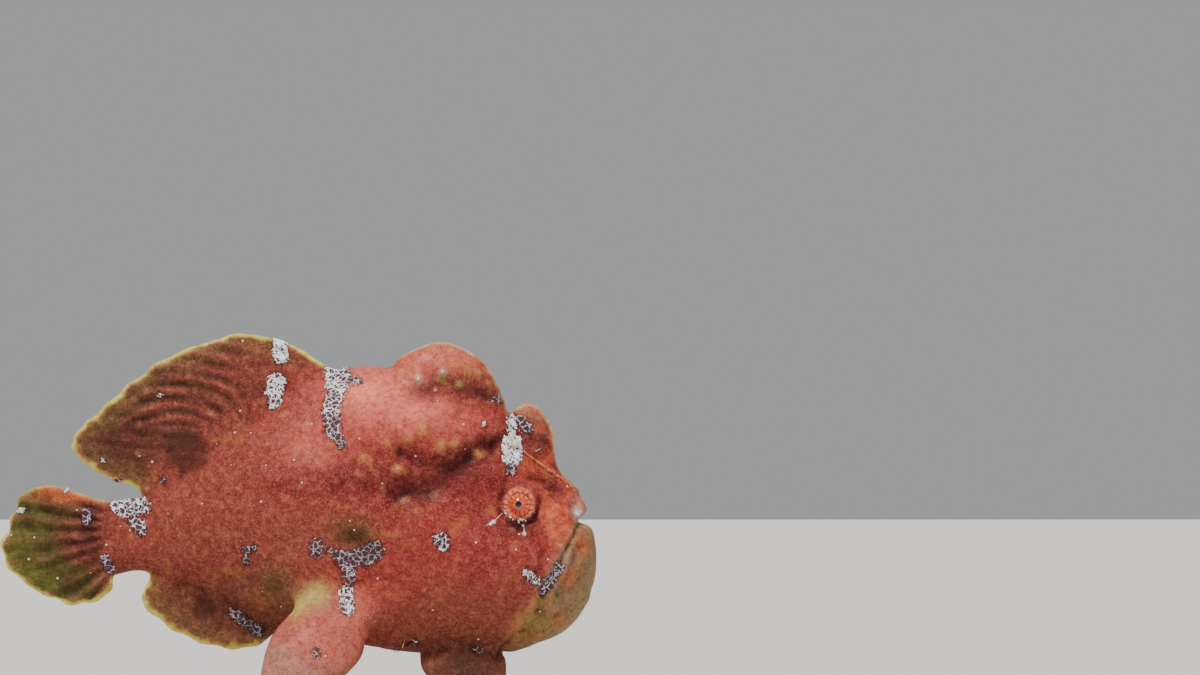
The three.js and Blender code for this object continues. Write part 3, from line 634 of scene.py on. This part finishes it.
    # numbers for the material: how far inside a patch, how white it is, how dark a spot is
    field, chalk, spot = np.zeros(len(x)), np.zeros(len(x)), np.zeros(len(x))
    for x1, z1, x2, z2, radius, solid in markings["scabs"]:
        here = np.clip(0.5 + (radius - fromLine(points, x1, z1, x2, z2)) / 3, 0, 1)
        chalk = np.where(here > field, solid, chalk)
        field = np.maximum(field, here)
    for cx, cz, rx, rz, strength in markings["spots"]:
        away = np.hypot((x - cx) / rx, (z - cz) / rz) + 0.1 * mottle
        spot = np.maximum(spot, strength * ease(1.15, 0.7, away))
    patchy = ease(0.1, 0.5, lumps(points, 2.1, 32))
    return base, field, chalk - 0.25 * patchy, spot


def setNumbers(piece, name, values):
    attribute = piece.data.attributes.new(name, "FLOAT", "POINT")
    attribute.data.foreach_set("value", values.astype(np.float32))


def setColours(piece, name, values):
    solid = np.ones((len(values), 4), np.float32)
    solid[:, :3] = values
    piece.data.attributes.new(name, "FLOAT_COLOR", "POINT").data.foreach_set("color", solid.ravel())


points = pointsOf(skin)
zone = zones(points)
paint, scab, chalk, spot = paintSkin(points, zone)
# the hollow numbers drive painted shade in the furrows and a painted highlight on the ridges
softer = softened(points, edgesOf(skin), skinSizes["hollowPasses"], np.full(len(points), 0.6))
hollow = np.einsum("ij,ij->i", softer - points, normalsOf(skin))  # above 0 in furrows
hollow *= ease(4.2, 5.4, zone["eye"])
crust = skinSizes["crust"] * ease(0.4, 0.6, scab) * (1 + 0.9 * lumps(points, 1.3, 17))
crust *= ease(0.5, 2, points[:, 2])
movePoints(skin, points + crust[:, None] * normalsOf(skin))
setColours(skin, "paint", paint)
setNumbers(skin, "scab", scab)
setNumbers(skin, "chalk", chalk)
setNumbers(skin, "spot", spot)
setNumbers(skin, "hollow", np.clip(hollow / skinSizes["hollowDepth"], -1, 1))
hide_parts(*fleshNodes)
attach(skin, "root")
print("skin: marked")


# Materials. An input is a number, a colour or the socket that feeds it.
def addNode(tree, kind, settings=None, inputs=None, out=0):  # returns the output named by out
    node = tree.nodes.new("ShaderNode" + kind)
    for name, value in (settings or {}).items():
        setattr(node, name, value)
    for socket, value in (inputs or {}).items():
        if isinstance(value, bpy.types.NodeSocket):
            tree.links.new(value, node.inputs[socket])
        else:
            node.inputs[socket].default_value = value
    return node.outputs[out]


def newMaterial(name):
    material = bpy.data.materials.new(name)
    material.use_nodes = True
    tree = material.node_tree
    return material, tree, tree.nodes["Principled BSDF"]


def rgba(code):
    return (*linear(code), 1)


smooth = {"interpolation_type": "SMOOTHSTEP"}  # map range: 0 value, 1 and 2 from, 3 and 4 to
times, timesPlus = {"operation": "MULTIPLY"}, {"operation": "MULTIPLY_ADD"}
minus, larger = {"operation": "SUBTRACT"}, {"operation": "MAXIMUM"}
mixing = {"data_type": "RGBA"}  # mix of colours: 0 share, 6 and 7 the colours, output 2


def layered(tree, colour, patterns, rows):  # lays each row's colour where its pattern is
    for pattern, low, high, share, code, blend, mask in rows:
        amount = addNode(tree, "MapRange", smooth,
                         {0: patterns[pattern], 1: low, 2: high, 4: share})
        if mask:
            amount = addNode(tree, "Math", times, {0: patterns[mask], 1: amount})
        colour = addNode(tree, "Mix", {"data_type": "RGBA", "blend_type": blend},
                         {0: amount, 6: colour, 7: rgba(code)}, 2)
    return colour


# Wet, velvety skin over soft flesh: a fine grain of papillae under a thin film of slime.
skinLook = {
    # noise: size in mm, detail
    "clouds": {
        "mottle": (1.7, 4), "fine": (0.8, 3), "pale": (0.5, 3), "ragged": (1.1, 3),
        "broken": (0.9, 2), "curdReach": (1.6, 2), "chalkiness": (0.5, 2),
    },
    # cells: size in mm, feature, randomness
    "cells": {
        "grain": (0.7, "F1", 1), "speck": (5.2, "F1", 1), "darkSpeck": (6.5, "F1", 0.9),
        "lace": (1.55, "DISTANCE_TO_EDGE", 1), "curd": (0.62, "F1", 1),
    },
    "bend": (1.3, 1.2),  # size and reach in mm of the bends in the lace
    # pattern, from, to, share, colour, blend, mask
    "underSpots": [
        ("mottle", 0.42, 0.64, 0.28, "#8a3a36", "MULTIPLY", None),
        ("mottle", 0.5, 0.3, 0.16, "#e2866c", "MIX", "redness"),
        ("pale", 0.48, 0.66, 0.22, "#ea8a78", "MIX", "redness"),
        ("fine", 0.48, 0.66, 0.3, "#7c3230", "MULTIPLY", None),
    ],
    "specksAndPaintedShading": [
        # painted shade in the furrows and a painted highlight on the ridges, then the specks
        ("hollow", 0.05, 0.8, 0.7, "#4a1d18", "MULTIPLY", None),
        ("hollow", -0.15, -0.9, 0.25, "#d98a70", "MIX", None),
        ("speck", 0.14, 0.08, 0.5, "#5a2420", "MIX", None),
        ("speck", 0.08, 0.045, 0.85, "#f3d6c4", "MIX", None),
        ("darkSpeck", 0.13, 0.05, 0.35, "#4c1b18", "MIX", None),
    ],
    "dullChalk": [("chalk", -0.1, 0.5, 1, "#cdc0c6", "MIX", None)],
    "brightChalk": [("chalk", -0.2, 0.4, 1, "#ffffff", "MIX", None)],
    "roughness": (0.55, 0.75), "ior": 1.4, "specular": 0.18, "flesh": 0.05,
    "bump": (0.6, 0.3),  # strength, depth in mm
}


def skinMaterial():
    material, tree, shader = newMaterial("frogfish_skin")
    place = addNode(tree, "TexCoord", out="Object")
    patterns = {}
    for name in ("paint", "scab", "chalk", "spot", "hollow"):
        out = "Color" if name == "paint" else "Fac"
        patterns[name] = addNode(tree, "Attribute", {"attribute_name": name}, out=out)
    for name, (size, detail) in skinLook["clouds"].items():
        inputs = {"Vector": place, "Scale": 1 / (size * mm), "Detail": detail}
        patterns[name] = addNode(tree, "TexNoise", None, inputs, "Fac")
    size, reach = skinLook["bend"]
    inputs = {"Vector": place, "Scale": 1 / (size * mm), "Detail": 1}
    bend = addNode(tree, "TexNoise", None, inputs, "Color")
    bent = addNode(tree, "VectorMath", timesPlus, {0: bend, 1: (reach * mm,) * 3, 2: place})
    for name, (size, feature, random) in skinLook["cells"].items():
        vector = bent if name in ("lace", "curd") else place
        inputs = {"Vector": vector, "Scale": 1 / (size * mm), "Randomness": random}
        patterns[name] = addNode(tree, "TexVoronoi", {"feature": feature}, inputs, "Distance")

    # the painted skin, with the pale grain on its red places only
    red = addNode(tree, "SeparateColor", None, {"Color": patterns["paint"]}, "Red")
    patterns["redness"] = addNode(tree, "MapRange", smooth, {0: red, 1: 0.07, 2: 0.24, 3: 0.2})
    colour = layered(tree, patterns["paint"], patterns, skinLook["underSpots"])
    colour = addNode(tree, "Mix", mixing, {0: patterns["spot"], 6: colour, 7: rgba("#43231a")}, 2)
    colour = layered(tree, colour, patterns, skinLook["specksAndPaintedShading"])

    # white threads and curds over a dark ground, in patches with a ragged edge and a dim halo
    chalk = patterns["chalk"]
    ragged = addNode(tree, "Math", minus, {0: patterns["ragged"], 1: 0.5})
    ragged = addNode(tree, "Math", timesPlus, {0: ragged, 1: 1.15, 2: patterns["scab"]})
    inside = addNode(tree, "MapRange", smooth, {0: ragged, 1: 0.46, 2: 0.54})
    halo = addNode(tree, "MapRange", smooth, {0: ragged, 1: 0.26, 2: 0.48, 4: 0.7})
    width = addNode(tree, "Math", timesPlus, {0: chalk, 1: 0.08, 2: 0.07})
    thread = addNode(tree, "Math", minus, {0: patterns["lace"], 1: width})
    thread = addNode(tree, "MapRange", smooth, {0: thread, 1: 0.03, 2: -0.03})
    broken = addNode(tree, "MapRange", smooth, {0: patterns["broken"], 1: 0.36, 2: 0.48, 3: 0.3})
    thread = addNode(tree, "Math", times, {0: thread, 1: broken})
    full = addNode(tree, "Math", timesPlus, {0: patterns["curdReach"], 1: 1.0, 2: -0.4})
    full = addNode(tree, "Math", timesPlus, {0: chalk, 1: 0.5, 2: full})
    curd = addNode(tree, "Math", minus, {0: patterns["curd"], 1: full})
    curd = addNode(tree, "MapRange", smooth, {0: curd, 1: 0.06, 2: -0.06})
    white = addNode(tree, "Math", larger, {0: thread, 1: curd})
    white = addNode(tree, "Math", times, {0: inside, 1: white})
    ground = addNode(tree, "Math", times, {0: inside, 1: 0.85})
    colour = addNode(tree, "Mix", {"data_type": "RGBA", "blend_type": "MULTIPLY"},
                     {0: halo, 6: colour, 7: rgba("#6a3a48")}, 2)
    colour = addNode(tree, "Mix", mixing, {0: ground, 6: colour, 7: rgba("#4e3640")}, 2)
    dull = layered(tree, rgba("#87767c"), patterns, skinLook["dullChalk"])
    bright = layered(tree, rgba("#cabdc2"), patterns, skinLook["brightChalk"])
    chalky = addNode(tree, "MapRange", smooth, {0: patterns["chalkiness"], 1: 0.32, 2: 0.52})
    chalky = addNode(tree, "Mix", mixing, {0: chalky, 6: dull, 7: bright}, 2)
    colour = addNode(tree, "Mix", mixing, {0: white, 6: colour, 7: chalky}, 2)
    tree.links.new(colour, shader.inputs["Base Color"])

    low, high = skinLook["roughness"]
    inputs = {0: patterns["fine"], 1: 0.3, 2: 0.7, 3: low, 4: high}
    rough = addNode(tree, "MapRange", smooth, inputs)
    tree.links.new(rough, shader.inputs["Roughness"])
    shader.inputs["IOR"].default_value = skinLook["ior"]
    shader.inputs["Specular IOR Level"].default_value = skinLook["specular"]
    shader.inputs["Subsurface Weight"].default_value = skinLook["flesh"]
    shader.inputs["Subsurface Radius"].default_value = (1.0, 0.4, 0.25)
    shader.inputs["Subsurface Scale"].default_value = 1.2 * mm
    wet = addNode(tree, "Math", timesPlus, {0: white, 1: 0.3, 2: 0.03})
    tree.links.new(wet, shader.inputs["Coat Weight"])
    shader.inputs["Coat Roughness"].default_value = 0.2

    bumps = addNode(tree, "Math", times, {0: patterns["fine"], 1: 0.7})
    bumps = addNode(tree, "Math", timesPlus, {0: patterns["grain"], 1: -0.6, 2: bumps})
    bumps = addNode(tree, "Math", timesPlus, {0: white, 1: 1.0, 2: bumps})
    strength, depth = skinLook["bump"]
    inputs = {"Strength": strength, "Distance": depth * mm, "Height": bumps}
    tree.links.new(addNode(tree, "Bump", None, inputs), shader.inputs["Normal"])
    return material


skin.data.materials.clear()
skin.data.materials.append(skinMaterial())
print("skin: material")

# The eyes.
eyeSizes = {
    "axis": (-0.1, -0.98, 0.04),  # the way the right eye looks
    "swell": 0.22,  # so that the ball meets its lids
    "bulge": 0.2, "bulgeAngle": 40,  # the cornea's height in mm and its reach in degrees
    "pupil": 0.85, "pupilRing": 0.14,
    "grain": 0.6, "spokes": 13, "wander": 2.4,  # of the iris
}


def eyeBall(name):
    low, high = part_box(name)
    centre = (low + high) / 2
    radius = (high.z - low.z) / 2 + eyeSizes["swell"] * mm
    axis = Vector(eyeSizes["axis"]).normalized()
    if centre.y > 0:
        axis.y = -axis.y
    bpy.ops.object.select_all(action="DESELECT")
    turn = axis.to_track_quat("Z", "Y").to_euler()
    bpy.ops.mesh.primitive_uv_sphere_add(segments=56, ring_count=40, radius=radius,
                                         location=centre, rotation=turn)
    ball = bpy.context.object
    ball.name = ball.data.name = name + "_ball"
    bpy.ops.object.transform_apply(location=True, rotation=True, scale=True)
    points = pointsOf(ball)
    middle, ahead = np.array(centre) / mm, np.array(axis)
    out = (points - middle) / (radius / mm)
    facing = np.degrees(np.arccos(np.clip(out @ ahead, -1, 1)))
    cornea = np.clip(1 - (facing / eyeSizes["bulgeAngle"]) ** 2, 0, 1)
    points = points + (eyeSizes["bulge"] * cornea)[:, None] * out
    movePoints(ball, points)
    flat = (points - middle) - ((points - middle) @ ahead)[:, None] * ahead
    fromPupil = np.where(facing < 90, np.linalg.norm(flat, axis=1), 9)
    setNumbers(ball, "fromPupil", fromPupil)
    setNumbers(ball, "around", np.arctan2(flat[:, 2], flat[:, 0]))
    selectOnly(ball)
    bpy.ops.object.shade_smooth()
    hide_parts(name)
    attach(ball, "root")
    return ball


def eyeMaterial():  # a wet cornea over a red iris with dark spokes, inside the rim of the lid
    material, tree, shader = newMaterial("wet_red_eye")
    place = addNode(tree, "TexCoord", out="Object")
    fromPupil = addNode(tree, "Attribute", {"attribute_name": "fromPupil"}, out="Fac")
    around = addNode(tree, "Attribute", {"attribute_name": "around"}, out="Fac")
    inputs = {"Vector": place, "Scale": 1 / (eyeSizes["grain"] * mm), "Detail": 3}
    noise = addNode(tree, "TexNoise", None, inputs, "Fac")
    spokes = addNode(tree, "Math", times, {0: around, 1: eyeSizes["spokes"]})
    spokes = addNode(tree, "Math", timesPlus, {0: noise, 1: eyeSizes["wander"], 2: spokes})
    spokes = addNode(tree, "Math", {"operation": "SINE"}, {0: spokes})
    reach = addNode(tree, "MapRange", smooth, {0: fromPupil, 1: 1.5, 2: 2.1})
    edge = addNode(tree, "Math", minus, {0: fromPupil, 1: 0.35})
    edge = addNode(tree, "Math", timesPlus, {0: noise, 1: 0.7, 2: edge})
    patterns = {"out": fromPupil, "noise": noise, "spokes": spokes, "reach": reach, "edge": edge}
    pupil, ring = eyeSizes["pupil"], eyeSizes["pupil"] + eyeSizes["pupilRing"]
    colour = layered(tree, rgba("#d42c22"), patterns, [
        ("out", 1.1, 2.3, 1, "#e2502f", "MIX", None),
        ("edge", 2.5, 2.7, 1, "#f27f60", "MIX", None),
        ("spokes", 0.3, 0.95, 0.75, "#6a1c14", "MIX", "reach"),
        ("noise", 0.5, 0.7, 0.35, "#ff9a5c", "MIX", None),
        ("out", ring + 0.06, ring, 0.5, "#d9a07c", "MIX", None),
        ("out", pupil + 0.05, pupil, 1, "#050505", "MIX", None),
    ])
    tree.links.new(colour, shader.inputs["Base Color"])
    rough = addNode(tree, "MapRange", smooth, {0: fromPupil, 1: 1.4, 2: 2.4, 3: 0.1, 4: 0.45})
    tree.links.new(rough, shader.inputs["Roughness"])
    shader.inputs["IOR"].default_value = 1.38
    wet = addNode(tree, "MapRange", smooth, {0: fromPupil, 1: 1.6, 2: 2.6, 3: 1.0, 4: 0.15})
    tree.links.new(wet, shader.inputs["Coat Weight"])
    shader.inputs["Coat Roughness"].default_value = 0.03
    return material


eyeLook = eyeMaterial()
for name in ("eye_right", "eye_left"):
    eyeBall(name).data.materials.append(eyeLook)
print("eyes: done")

# The tufts: white filaments at the patches, beads under the eye, a dart-like filament, some warts.
tufts = {
    "beads": [  # x, z, radius, how far it stands out
        (38.7, 91.8, 0.5, 0.3), (32.2, 89.9, 0.4, 0.25), (36.8, 86.7, 0.35, 0.2),
        # the pale bead at x 49.9, z 77.8 stands where a highlight is, a painted highlight in relief
        (49.9, 77.8, 0.6, 0.3), (60.3, 48.1, 0.6, 0.4), (60.1, 50.3, 0.35, 0.3),
        (52.1, 51.4, 0.75, 0.5), (51.3, 50.8, 0.6, 0.4), (-74.6, 54.5, 0.9, 0.4),
        (26.6, 65.5, 0.4, 0.2), (74.9, 53.4, 0.5, 0.35), (76, 54.2, 0.4, 0.25),
    ],
    "underEye": {"count": 22, "from": 190, "to": 345, "out": 4.3, "radius": 0.34},
    "threads": [  # x1, z1, x2, z2, radius: thin filaments laid on the skin
        (52.6, 51.9, 54.4, 53.5, 0.15), (51.2, 50.8, 50.0, 50.2, 0.13),
        (60.3, 48.6, 60.2, 50.2, 0.14), (64, 70.4, 65.4, 71.2, 0.14), (28, 17.4, 28.6, 19.6, 0.12),
    ],
    "longest": 6,  # a filament whose ends lie further apart on the skin is left out
    "fringe": {"count": 150, "length": (0.7, 1.6), "radius": 0.11, "leastChalk": 0.3},
}


def onSkin(x, z, side):  # the outermost place of the skin at that spot of the side view
    start = Vector((x, 150 * side, z)) * mm
    hit, place, normal, _ = skin.ray_cast(start, Vector((0, -side, 0)))
    return (place, normal) if hit else (None, None)


def addBead(made, place, normal, radius, stand):
    centre = place + normal * (stand - radius) * mm
    bpy.ops.mesh.primitive_ico_sphere_add(subdivisions=2, radius=radius * mm, location=centre)
    made.append(bpy.context.object)


def addThread(made, start, end, radius):
    along = end - start
    turn = along.to_track_quat("Z", "Y").to_euler()
    bpy.ops.mesh.primitive_cone_add(vertices=6, radius1=radius * mm, radius2=0.4 * radius * mm,
                                    depth=along.length, location=(start + end) / 2, rotation=turn)
    made.append(bpy.context.object)


def buildTufts():
    made = []
    draw = np.random.default_rng(11)
    eyeX, eyeZ = skinSizes["eye"]
    under, fringe = tufts["underEye"], tufts["fringe"]
    rim = []
    for angle in np.radians(draw.uniform(under["from"], under["to"], under["count"])):
        out = under["out"] + draw.uniform(-0.4, 0.3)
        radius = under["radius"] * draw.uniform(0.5, 1.3)
        rim.append((eyeX + out * math.cos(angle), eyeZ + out * math.sin(angle), radius, 0.2))
    whites = [row for row in markings["scabs"] if row[5] >= fringe["leastChalk"]]
    reach = np.array([math.hypot(row[2] - row[0], row[3] - row[1]) + 2 * row[4] for row in whites])
    for side in (-1, 1):
        for x, z, radius, stand in tufts["beads"] + rim:
            place, normal = onSkin(x, z, side)
            if place:
                addBead(made, place, normal, radius, stand)
        for x1, z1, x2, z2, radius in tufts["threads"]:
            (start, n1), (end, n2) = onSkin(x1, z1, side), onSkin(x2, z2, side)
            if start and end and (end - start).length < tufts["longest"] * mm:
                addThread(made, start + n1 * 0.1 * mm, end + n2 * 0.25 * mm, radius)
        for pick in draw.choice(len(whites), fringe["count"], p=reach / reach.sum()):
            x1, z1, x2, z2, radius, _ = whites[pick]
            t, angle = draw.uniform(0, 1), draw.uniform(0, 2 * math.pi)
            off = radius * math.sqrt(draw.uniform(0, 1))
            x = x1 + (x2 - x1) * t + off * math.cos(angle)
            z = z1 + (z2 - z1) * t + off * math.sin(angle)
            place, normal = onSkin(x, z, side)
            if place:
                lean = normal * draw.uniform(0.5, 1) + Vector(draw.uniform(-0.8, 0.8, 3))
                lean = (lean + Vector((0, 0, -0.2))).normalized()
                lean = lean * draw.uniform(*fringe["length"]) * mm
                addThread(made, place - lean * 0.2, place + lean * 0.8, fringe["radius"])
    selectOnly(*made)
    bpy.ops.object.join()
    whole = made[0]
    whole.name = whole.data.name = "white_tufts"
    bpy.ops.object.transform_apply(location=True, rotation=True, scale=True)
    bpy.ops.object.shade_smooth()
    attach(whole, "root")
    return whole


def softFinish(tree, shader, noise, roughness, strength, depth):  # a dry, grainy surface
    low, high = roughness
    rough = addNode(tree, "MapRange", smooth, {0: noise, 1: 0.3, 2: 0.7, 3: low, 4: high})
    tree.links.new(rough, shader.inputs["Roughness"])
    inputs = {"Strength": strength, "Distance": depth * mm, "Height": noise}
    tree.links.new(addNode(tree, "Bump", None, inputs), shader.inputs["Normal"])


def tuftMaterial():  # pale, matt filaments of skin
    material, tree, shader = newMaterial("pale_tufts")
    place = addNode(tree, "TexCoord", out="Object")
    inputs = {"Vector": place, "Scale": 1 / (1.2 * mm), "Detail": 3}
    noise = addNode(tree, "TexNoise", None, inputs, "Fac")
    colour = layered(tree, rgba("#a08f92"), {"noise": noise},
                     [("noise", 0.35, 0.62, 1, "#efe9ea", "MIX", None)])
    tree.links.new(colour, shader.inputs["Base Color"])
    softFinish(tree, shader, noise, (0.35, 0.6), 0.4, 0.1)
    return material


whiteTufts = buildTufts()
whiteTufts.data.materials.append(tuftMaterial())
print("tufts:", len(whiteTufts.data.polygons), "faces")


def lureMaterial():  # a red stalk with a white bait; the lure's CAD solid keeps its shape
    material, tree, shader = newMaterial("lure_skin")
    place = addNode(tree, "TexCoord", out="Object")
    along = addNode(tree, "SeparateXYZ", None, {"Vector": place}, "X")
    inputs = {"Vector": place, "Scale": 1 / (0.7 * mm), "Detail": 3}
    noise = addNode(tree, "TexNoise", None, inputs, "Fac")
    colour = layered(tree, rgba("#a8462f"), {"noise": noise, "along": along}, [
        ("noise", 0.4, 0.62, 1, "#dd8462", "MIX", None),
        ("along", 60.6 * mm, 59.4 * mm, 0.75, "#efe6df", "MIX", None),
    ])
    tree.links.new(colour, shader.inputs["Base Color"])
    softFinish(tree, shader, noise, (0.4, 0.6), 0.5, 0.15)
    return material


nodes["lure"].data.materials.clear()
nodes["lure"].data.materials.append(lureMaterial())
selectOnly(nodes["lure"])
print("lure: done")

# The camera, the lights and the floor.
camera = {"place": (0.000425, -1.5, 0.054545), "right": 3.1008, "up": 1.785, "lens": 166.06}
bpy.ops.object.camera_add(location=camera["place"])
bpy.context.scene.camera = bpy.context.object
bpy.context.object.data.lens = camera["lens"]
bpy.context.object.data.sensor_width = 36
yaw, pitch = math.radians(camera["right"]), math.radians(camera["up"])
ahead = Vector((math.sin(yaw) * math.cos(pitch), math.cos(yaw) * math.cos(pitch), math.sin(pitch)))
bpy.context.object.rotation_euler = ahead.to_track_quat("-Z", "Y").to_euler()

lights = [  # direction it shines from, strength, width of its disc in degrees, colour
    ((-0.3, -0.62, 1.3), 3.4, 14, (1, 0.98, 0.95)),
    ((1.0, -0.7, 0.5), 0.4, 40, (0.95, 0.97, 1)),
    ((0.2, 1.0, 0.9), 0.7, 40, (1, 1, 1)),
]
for place, power, wide, colour in lights:
    bpy.ops.object.light_add(type="SUN", location=place)
    lamp = bpy.context.object
    lamp.data.energy, lamp.data.angle, lamp.data.color = power, math.radians(wide), colour
    lamp.rotation_euler = Vector(place).to_track_quat("Z", "Y").to_euler()

bpy.ops.mesh.primitive_plane_add(size=60, location=(0, 0, 0))
floor = bpy.context.object
floor.name = "floor"
floorMaterial, _, floorShader = newMaterial("pale_floor")
floorShader.inputs["Base Color"].default_value = rgba("#d9d7d2")
floorShader.inputs["Roughness"].default_value = 0.8
floor.data.materials.append(floorMaterial)

world = bpy.data.worlds.new("studio")
world.use_nodes = True
world.node_tree.nodes["Background"].inputs["Color"].default_value = (0.8, 0.81, 0.82, 1)
world.node_tree.nodes["Background"].inputs["Strength"].default_value = 0.45
bpy.context.scene.world = world
print("stage: done")
